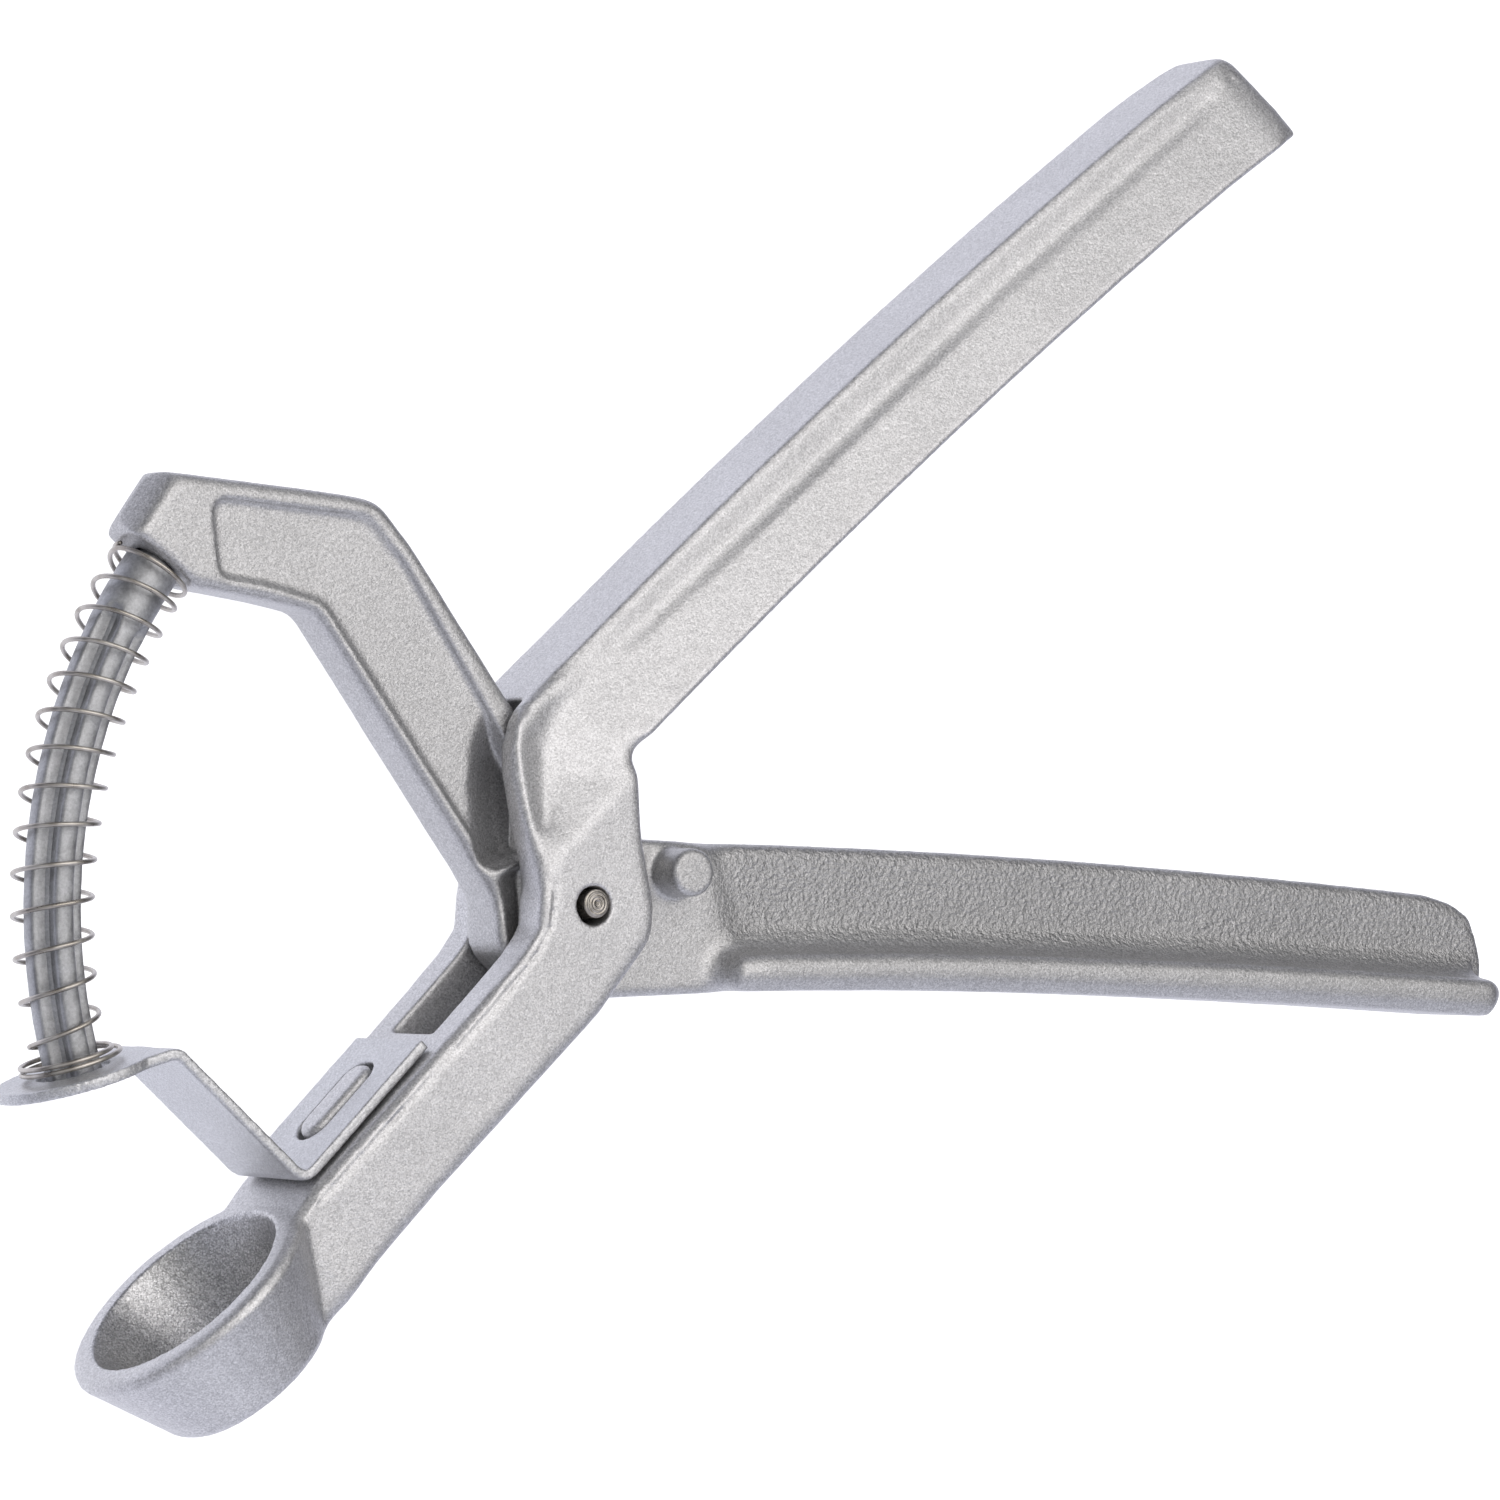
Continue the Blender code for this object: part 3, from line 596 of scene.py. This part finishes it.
# The upper handle's direction, how far along it the handle ends, and the end's middle.
HANDLE_RUN = (0.779, 0.627)
HANDLE_END_REACH = 123.3
HANDLE_END_MIDDLE = (84.5, 87.5)
END_ROUND = 5.6
END_DROP = 2.3
BAND_WIDTH = 4.5
BAND_LINE = 1.1


def bead_groove(side, sign):
    """The fine groove that sets off the bead along the front edge of cheek and arm."""
    last = len(GROOVE) - 1
    rings = []
    for index, (x, y, face) in enumerate(GROOVE):
        ahead, behind = GROOVE[min(index + 1, last)], GROOVE[max(index - 1, 0)]
        run = Vector((ahead[0] - behind[0], ahead[1] - behind[1])).normalized()
        half = GROOVE_END_HALF if index in (0, last) else GROOVE_HALF
        rings.append([(x - run.y * half, y + run.x * half, sign * (face + 0.3)),
                      (x, y, sign * (face - 1.5 * half)),
                      (x + run.y * half, y - run.x * half, sign * (face + 0.3))])
    return loft("bead_groove_" + side, rings)


def bend_fill(side, sign):
    """The rim's back slope, from its crest down into the valley."""
    rings = []
    for y, front, crest, top, valley, low in BEND:
        rings.append([(front + 0.3, y, sign * BEND_FOOT), (front + 0.1, y, sign * (top - 0.8)),
                      (min(front + 0.9, crest - 0.05), y, sign * top), (crest, y, sign * top),
                      (valley, y, sign * low), (valley, y, sign * BEND_FOOT)])
    return loft("bend_fill_" + side, rings)


def round_handle_end(points):
    """Let the upper handle's end fall away in a soft round."""
    run_x, run_y = HANDLE_RUN
    mid_x, mid_y = HANDLE_END_MIDDLE
    along = HANDLE_END_REACH - (points[:, 0] * run_x + points[:, 1] * run_y)
    across = (points[:, 1] - mid_y) * run_x - (points[:, 0] - mid_x) * run_y
    face = np.where(across < 2.0, 6.5 - 0.36 * across, 5.9 - 0.3 * (across - 2.0))
    near_end = np.clip(1.0 - along / END_ROUND, 0.0, 0.96)
    fall = END_DROP * (1.0 - np.sqrt(1.0 - near_end ** 2))
    press(points, along < END_ROUND, face - fall)
    return along


def level_handle_band(points, along):
    """Level the band along the handle's top, with a shallow line beside it."""
    band = beside(points, BAND_EDGE)
    straight = (points[:, 1] > BEND_TOP_Y) & (along > 4.0)
    level = np.interp(points[:, 1], [BEND_TOP_Y, 28.0], [6.1, 5.5])
    press(points, (band > 0.0) & (band < BAND_WIDTH) & straight, level)
    press(points, (band <= 0.0) & (band > -BAND_LINE) & straight, level - 0.10 - 0.62 * band)


def slope_hub(points):
    """Behind the rim's bend, let the web climb gently out of the valley."""
    x, y = points[:, 0], points[:, 1]
    levels = np.array(BEND).T
    crest_x, crest_z, valley_x, valley_z = [np.interp(y, levels[0], row) for row in levels[2:]]
    back = (crest_z - valley_z) / (valley_x - crest_x)
    slope = np.interp(y, [3.0, 8.0, 16.0], [0.6, 0.36, 0.32])
    limit = np.where(x > valley_x, valley_z + slope * (x - valley_x),
                     np.minimum(crest_z, valley_z + back * (valley_x - x)))
    limit += np.clip(y - BEND_TOP_Y, 0.0, 3.5) * 0.3
    press(points, (y > 3.4) & (y < 24.0) & (x < 6.0) & (x > crest_x - 1.2), limit)


def make_body():
    """The upper handle, hub cheeks, arm and cup, with the cup's inside marked for the paint's
    painted shade.
    """
    cup_middle = np.array(polar(ARC_RADIUS, CUP_ANGLE))
    cup_axis = np.array(polar(1.0, CUP_ANGLE + 90.0))

    def shape(points):
        level_handle_band(points, round_handle_end(points))
        slope_hub(points)

    def crisp(points):
        gap = np.linalg.norm(points[:, :2] - cup_middle[:2], axis=1)
        return np.clip((gap - 14.0) / 4.0, 0.25, 1.0)

    def roughen(points):
        return 0.016 * grain(points, 0.9, 1) + 0.03 * grain(points, 5.0, 2)

    body = cast_skin("body_casting_skin", "body_casting", CASTING_VOXEL, 5, roughen,
                     both_sides(bend_fill), both_sides(bead_groove), BODY_SOFT_LINES, shape, crisp)
    # The cup's inside, which the paint darkens as painted shade and speckles with painted
    # highlights.
    reach = read_rows(body.data.vertices, "co") / MM - cup_middle
    gap = np.linalg.norm(reach - np.outer(reach @ cup_axis, cup_axis), axis=1)
    deep = np.clip(reach @ cup_axis, -1.0, CUP_DEPTH) / CUP_DEPTH
    wall = CUP_BORE_RADIUS - CUP_BORE_TAPER * deep
    mark_vertices(body.data, "painted_cup_shade", np.clip((wall + 0.45 - gap) / 0.3, 0.0, 1.0))
    return done(body, PAINT, "body", "painted_casting", "body_casting")


# ---------------------------------------------------------------- lever casting

# The lower handle: its flange's thickness, and where flange and web start and end.
FLANGE_DEPTH = 3.8
FILLET_START = 19.6
FILLET_END = 117.6
FILLET_STEPS = 24
FILLET_SECTION = [(6.3, -0.6), (5.2, 0.15), (4.1, 0.75), (3.4, 1.5), (2.9, 2.6), (2.6, 3.8)]

# The flange's rounded start: x, half width and how far its top is sunk.
NOSE = [(17.0, 3.4, 0.4), (17.9, 5.2, 0.25), (18.8, 6.6, 0.1), (20.2, 7.3, 0.0)]

ARM_TIP = [(-50.4, 37.7), (-46.6, 43.1)]
ARM_EDGE = [(-8.2, 0.4), (-10.5, 3.7), (-29.1, 29.3), (-35.0, 30.4), (-41.6, 31.3)]
ARM_BACK_EDGE = [(-50.3, 37.9), (-46.6, 43.1), (-31.0, 41.8), (-21.7, 40.9), (-18.6, 37.2),
                 (-6.95, 21.3), (-4.0, 18.0)]
ELBOW = [(-22.5, 41.5), (-20.0, 39.0)]
PANEL_EDGE = [(-5.2, 13.4), (-18.8, 34.2)]
FLANGE_END = [(117.5, -10.5), (120.0, -10.5)]
WEB_START = [(18.4, -7.0), (19.6, -2.0), (18.2, 5.6)]

# Where the sloping panel beside the cheek starts: y and x.
PANEL_START = [(5.0, -10.4), (7.3, -11.0), (11.8, -11.5), (16.3, -11.1), (18.9, -10.0),
               (21.4, -8.4)]


def grip_bottom(x):
    """The lower handle's underside, which curves away towards its end."""
    return -9.0 - 3.75 * max(0.0, (x - 30.0) / 88.0) ** 1.6


def grip_fillet():
    """The concave fillet that the lower handle's web stands on."""
    section = FILLET_SECTION + [(-z, y) for z, y in reversed(FILLET_SECTION)]
    rings = []
    for number in range(FILLET_STEPS + 1):
        x = FILLET_START + (FILLET_END - FILLET_START) * number / FILLET_STEPS
        top = grip_bottom(x) + 3.9 + 0.3 * number / FILLET_STEPS
        rings.append([(x, top + y, z) for z, y in section])
    return loft("grip_fillet", rings)


def flange_nose():
    """The rounded start of the finger flange, where it rises out of the block."""
    rings = []
    for x, half, sunk in NOSE:
        low, top = grip_bottom(x), grip_bottom(x) + FLANGE_DEPTH - sunk
        near = [(low + 0.3, half - 0.8), (low + 1.2, half), (top - 0.6, half), (top, half - 0.8)]
        rings.append([(x, y, z) for y, z in near] + [(x, y, -z) for y, z in reversed(near)])
    return loft("flange_nose", rings)


def lever_soft_lines():
    """The lever's softened lines, each with its reach and the number of rounds."""
    web_top = [(16.0 + 12.0 * n, 6.4 - 5.8 * ((6.0 + 12.0 * n) / 104.0) ** 1.7) for n in range(9)]
    web_top += [(115.6, -0.1), (118.2, -1.6), (119.4, -4.6)]
    flange_edge = [(19.0 + 9.9 * n, grip_bottom(19.0 + 9.9 * n) + 1.8) for n in range(11)]
    return [(ARM_EDGE, 2.3, 45), (ARM_BACK_EDGE, 2.3, 45), (ARM_TIP, 1.4, 8), (ELBOW, 4.0, 60),
            (web_top, 2.2, 35), (FLANGE_END, 4.0, 40), (WEB_START, 3.4, 110),
            (flange_edge, 2.6, 40)]


def slope_panel(points):
    """Slope the panel away towards the cheek, above and below a short diagonal rib."""
    x, y, _ = points.T
    start = np.interp(y, *zip(*PANEL_START))
    rib = 3.4 + 0.4 * (x + 8.6)
    on_panel = (beside(points, PANEL_EDGE) > 0.2) & (y < PANEL_START[-1][0])
    upper = (y > rib + 0.9) & on_panel & (x > start) & (x < -5.2)
    press(points, upper, 2.8 - np.clip(0.5 * (x - start), 0.0, 1.7))
    left = -8.3 + 0.22 * (2.6 - y)
    lower = (y < rib - 0.9) & (y > -5.4) & (x > left) & (x < -4.4)
    press(points, lower, 3.5 - np.clip(0.6 * (x - left), 0.0, 1.7))


def taper_tip(points):
    """Taper the arm's tip both ways from the casting's parting line."""
    away = np.full(len(points), FAR)
    for first, last in zip(ARM_TIP, ARM_TIP[1:]):
        run = np.array(last) - np.array(first)
        side = np.array((run[1], -run[0])) / np.linalg.norm(run)
        away = np.minimum(away, np.abs((points[:, :2] - np.array(first)) @ side))
    press(points, (points[:, 0] < -42.0) & (away < 1.3), 0.3 + 2.6 * away)


def make_lever():
    """The plunger arm, hub middle and T-shaped lower handle, its web marked for the paint."""
    def roughen(points):
        grip = np.clip((points[:, 0] - 17.0) / 4.0, 0.0, 1.0)
        above = np.clip((points[:, 1] + 6.5) / 1.5, 0.0, 1.0)
        fine = grain(points, 0.55, 3)
        return (0.014 + 0.034 * (grip * above)) * fine + 0.03 * grain(points, 4.0, 4)

    def shape(points):
        slope_panel(points)
        taper_tip(points)

    lever = cast_skin("lever_casting_skin", "lever_casting", CASTING_VOXEL, 6, roughen,
                      [grip_fillet(), flange_nose()], [], lever_soft_lines(), shape)
    x, y, _ = (read_rows(lever.data.vertices, "co") / MM).T
    above = y - np.array([grip_bottom(each) for each in x]) - FLANGE_DEPTH
    web = np.clip((x - 15.0) / 7.0, 0.0, 1.0) * np.clip((above - 0.3) / 1.5, 0.0, 1.0)
    mark_vertices(lever.data, "web", web)
    return done(lever, PAINT_ROUGH, "lever", "painted_casting", "lever_casting")


# ---------------------------------------------------------------- plunger

PLUNGER_SIDES = 96
PLUNGER_RADIUS = 2.9
PLUNGER_CORE = 1.72
RIB_HALF = 1.05
# The spigot in the lever and the collar outside it: place along the rod and radius.
COLLAR = [(-4.9, 1.95), (-4.6, 2.0), (0.3, 2.0), (0.31, 2.62), (0.36, 2.78), (0.5, 2.88),
          (0.8, PLUNGER_RADIUS)]
ROD_START = 145.0
ROD_END = 198.15
ROD_STEPS = 150
GROOVE_START = 148.9
GROOVE_RUN_OUT = 3.4
WAIST_START = 146.3


def cross_radius(angle):
    """Radius of the plunger's cross-shaped section, with soft-cornered ribs."""
    local = (angle + math.pi / 4) % (math.pi / 2) - math.pi / 4
    away = abs(math.sin(local))
    flat = RIB_HALF / away if away > 1e-6 else FAR
    out = away * PLUNGER_RADIUS
    crown = PLUNGER_RADIUS - 0.10 * (out / RIB_HALF) ** 4 if out < RIB_HALF * 1.4 else FAR
    return max(min(flat * 0.985, crown, PLUNGER_RADIUS), PLUNGER_CORE)


def plunger_ring(angle_on_arc, radii, offset=0.0):
    """One section of the plunger, square to its arc."""
    outward = polar(1.0, angle_on_arc)
    centre = outward * ARC_RADIUS
    if offset:
        centre = centre + Vector((-outward.y, outward.x, 0.0)) * offset
    points = []
    for index, radius in enumerate(radii):
        spin = 2.0 * math.pi * index / PLUNGER_SIDES
        spot = centre + outward * (radius * math.cos(spin))
        points.append((spot.x, spot.y, radius * math.sin(spin)))
    return points


def make_plunger():
    """Curved rod: round collar, then four grooves that start in round-ended tips."""
    section = [cross_radius(2.0 * math.pi * index / PLUNGER_SIDES)
               for index in range(PLUNGER_SIDES)]
    rings = [plunger_ring(SEAT_ANGLE, [radius] * PLUNGER_SIDES, offset)
             for offset, radius in COLLAR]
    for number in range(ROD_STEPS + 1):
        station = ROD_START + (ROD_END - ROD_START) * number / ROD_STEPS
        into = (station - GROOVE_START) * math.radians(1.0) * ARC_RADIUS
        lift = 3.0
        if into > 0.0:
            rest = max(0.0, 1.0 - into / GROOVE_RUN_OUT)
            lift = max(0.0, 3.0 - 3.0 * math.sqrt(max(0.0, 1.0 - rest ** 2)))
        waist = 0.0
        if WAIST_START < station < WAIST_START + 1.0:
            waist = 0.07 * math.sin(math.pi * (station - WAIST_START))
        rings.append(plunger_ring(station, [min(PLUNGER_RADIUS - waist, radius + lift)
                                            for radius in section]))
    rings.append(plunger_ring(ROD_END + 0.05, [radius * 0.93 for radius in section]))
    plunger = loft("plunger_rod", rings)
    mesh = plunger.data
    place = read_rows(mesh.vertices, "co")
    shake = 0.03 * grain(place / MM, 1.4, 6)
    place += read_rows(mesh.vertex_normals, "vector") * (shake * MM)[:, None]
    mesh.vertices.foreach_set("co", place.ravel())
    mesh.shade_smooth()
    mesh.set_sharp_from_angle(angle=math.radians(SHARP_ANGLE))
    return done(plunger, BARE, "lever", "bare_aluminium", "plunger")


# ---------------------------------------------------------------- plate, spring, pin

def make_plate():
    """The bent sheet, rough along its sheared edges."""
    def roughen(points):
        sheared = np.clip((np.abs(points[:, 2]) - 6.3) / 0.5, 0.0, 1.0)
        fine = grain(points, 0.45, 7)
        return 0.008 * fine + 0.045 * sheared * fine + 0.02 * grain(points, 4.0, 8)

    plate = cast_skin("stripper_plate_skin", "stripper_plate", PLATE_VOXEL, 4, roughen)
    return done(plate, PAINT_PLATE, "body", "painted_plate", "stripper_plate")


# The coil: wire and contact gap, then turns and radii at the lever and at the plate.
WIRE_RADIUS = 0.25
CONTACT_GAP = 0.3
CLOSED_TURNS = 1.0
ACTIVE_TURNS = 13.4
BASE_TURNS = 2.0
TOP_RADIUS = 4.15
FOOT_RADIUS = 3.6
BASE_RADIUS = 5.0
WIRE_SIDES = 12
STEPS_PER_TURN = 44


def make_spring():
    """The coil, wound on the plunger's arc."""
    start = SEAT_ANGLE + math.degrees((CONTACT_GAP + WIRE_RADIUS) / ARC_RADIUS)
    end = PLATE_ANGLE - math.degrees((CONTACT_GAP + WIRE_RADIUS) / ARC_RADIUS)
    step = math.degrees((2.0 * WIRE_RADIUS + 0.1) / ARC_RADIUS)
    turns = CLOSED_TURNS + ACTIVE_TURNS + BASE_TURNS
    active = end - start - step * (CLOSED_TURNS + BASE_TURNS)

    def station(turn):
        """The place on the arc and the coil's radius after a number of turns."""
        if turn < CLOSED_TURNS:
            return start + step * turn, TOP_RADIUS
        if turn > CLOSED_TURNS + ACTIVE_TURNS:
            rest = turns - turn
            widen = smooth(min(1.0, (BASE_TURNS - rest) * 2.5))
            return end - step * rest, FOOT_RADIUS + (BASE_RADIUS - FOOT_RADIUS) * widen
        share = (turn - CLOSED_TURNS) / ACTIVE_TURNS
        radius = TOP_RADIUS + (FOOT_RADIUS - TOP_RADIUS) * share ** 3
        return start + step * CLOSED_TURNS + active * share * (0.86 + 0.14 * share), radius

    def centre_of(turn):
        angle, radius = station(turn)
        spin = -2.0 * math.pi * turn
        spot = polar(1.0, angle) * (ARC_RADIUS + radius * math.cos(spin))
        return spot + Vector((0.0, 0.0, radius * math.sin(spin)))

    rings = []
    count = round(turns * STEPS_PER_TURN)
    for number in range(count + 1):
        turn = turns * number / count
        here = centre_of(turn)
        run = (centre_of(turn + 0.01) - centre_of(turn - 0.01)).normalized()
        angle = math.radians(station(turn)[0])
        side = run.cross(Vector((-math.sin(angle), math.cos(angle), 0.0))).normalized()
        lift = side.cross(run).normalized()
        radius = WIRE_RADIUS * (0.86 if number in (0, count) else 1.0)
        ring = []
        for corner in range(WIRE_SIDES):
            spoke = 2.0 * math.pi * corner / WIRE_SIDES
            ring.append(here + (side * math.cos(spoke) + lift * math.sin(spoke)) * radius)
        rings.append(ring)
    spring = loft("plunger_spring_coil", rings)
    spring.data.shade_smooth()
    done(spring, WIRE, None, "spring_steel", "plunger_spring")
    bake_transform(spring)
    # Each vertex's angle about the pivot is worked out, and nothing is changed.
    for vertex in spring.data.vertices:
        spot = vertex.co - PIVOT
        angle = math.degrees(math.atan2(spot.y, spot.x)) % 360.0
    return spring


PIN_SIDES = 64
# The pin's end from its middle outwards: height and radius.
PIN_END = [(9.12, 0.02), (9.12, 0.14), (9.07, 0.18), (9.11, 0.24), (9.10, 0.8), (9.07, 1.15),
           (9.0, 1.34), (8.88, 1.45), (8.68, 1.51), (7.6, 1.52)]


def make_pin():
    """The pin, its ends turned to a shallow dome with a small centre mark."""
    profile = PIN_END + [(-height, radius) for height, radius in reversed(PIN_END)]
    spins = [2.0 * math.pi * number / PIN_SIDES for number in range(PIN_SIDES)]
    shift_x, shift_y = PIN_SHIFT
    rings = [[(shift_x + radius * math.cos(spin), shift_y + radius * math.sin(spin), height)
              for spin in spins] for height, radius in profile]
    pin = loft("pivot_pin_turned", rings)
    pin.data.shade_smooth()
    pin.data.set_sharp_from_angle(angle=math.radians(SHARP_ANGLE))
    return done(pin, PIN, "body", "pin_steel", "pivot_pin")


# ---------------------------------------------------------------- the whole scene

# The body's paint darkens the cup's inside as painted shade.
PAINT = paint("silver_paint", (1.0, 0.995, 1.0), 0.61, 0.22, 0.03, painted_cup_shade=True)
PAINT_ROUGH = paint("silver_paint_rough", (1.0, 0.995, 0.995), 0.53, 0.22, 0.05, rough_web=True)
PAINT_PLATE = paint("silver_paint_plate", (0.98, 0.985, 1.0), 0.62, 0.16, 0.03)
BARE = bare_cast("bare_aluminium")
WIRE = wire_steel("spring_wire")
PIN = turned_steel("pin_steel")

add_camera()
add_floor()
add_world()
for softbox in SOFTBOXES:
    add_softbox(*softbox)
bpy.context.scene.view_settings.view_transform = "Standard"
bpy.context.scene.view_settings.look = "None"

make_body()
make_lever()
make_plunger()
make_plate()
make_spring()
make_pin()

bpy.context.view_layer.update()
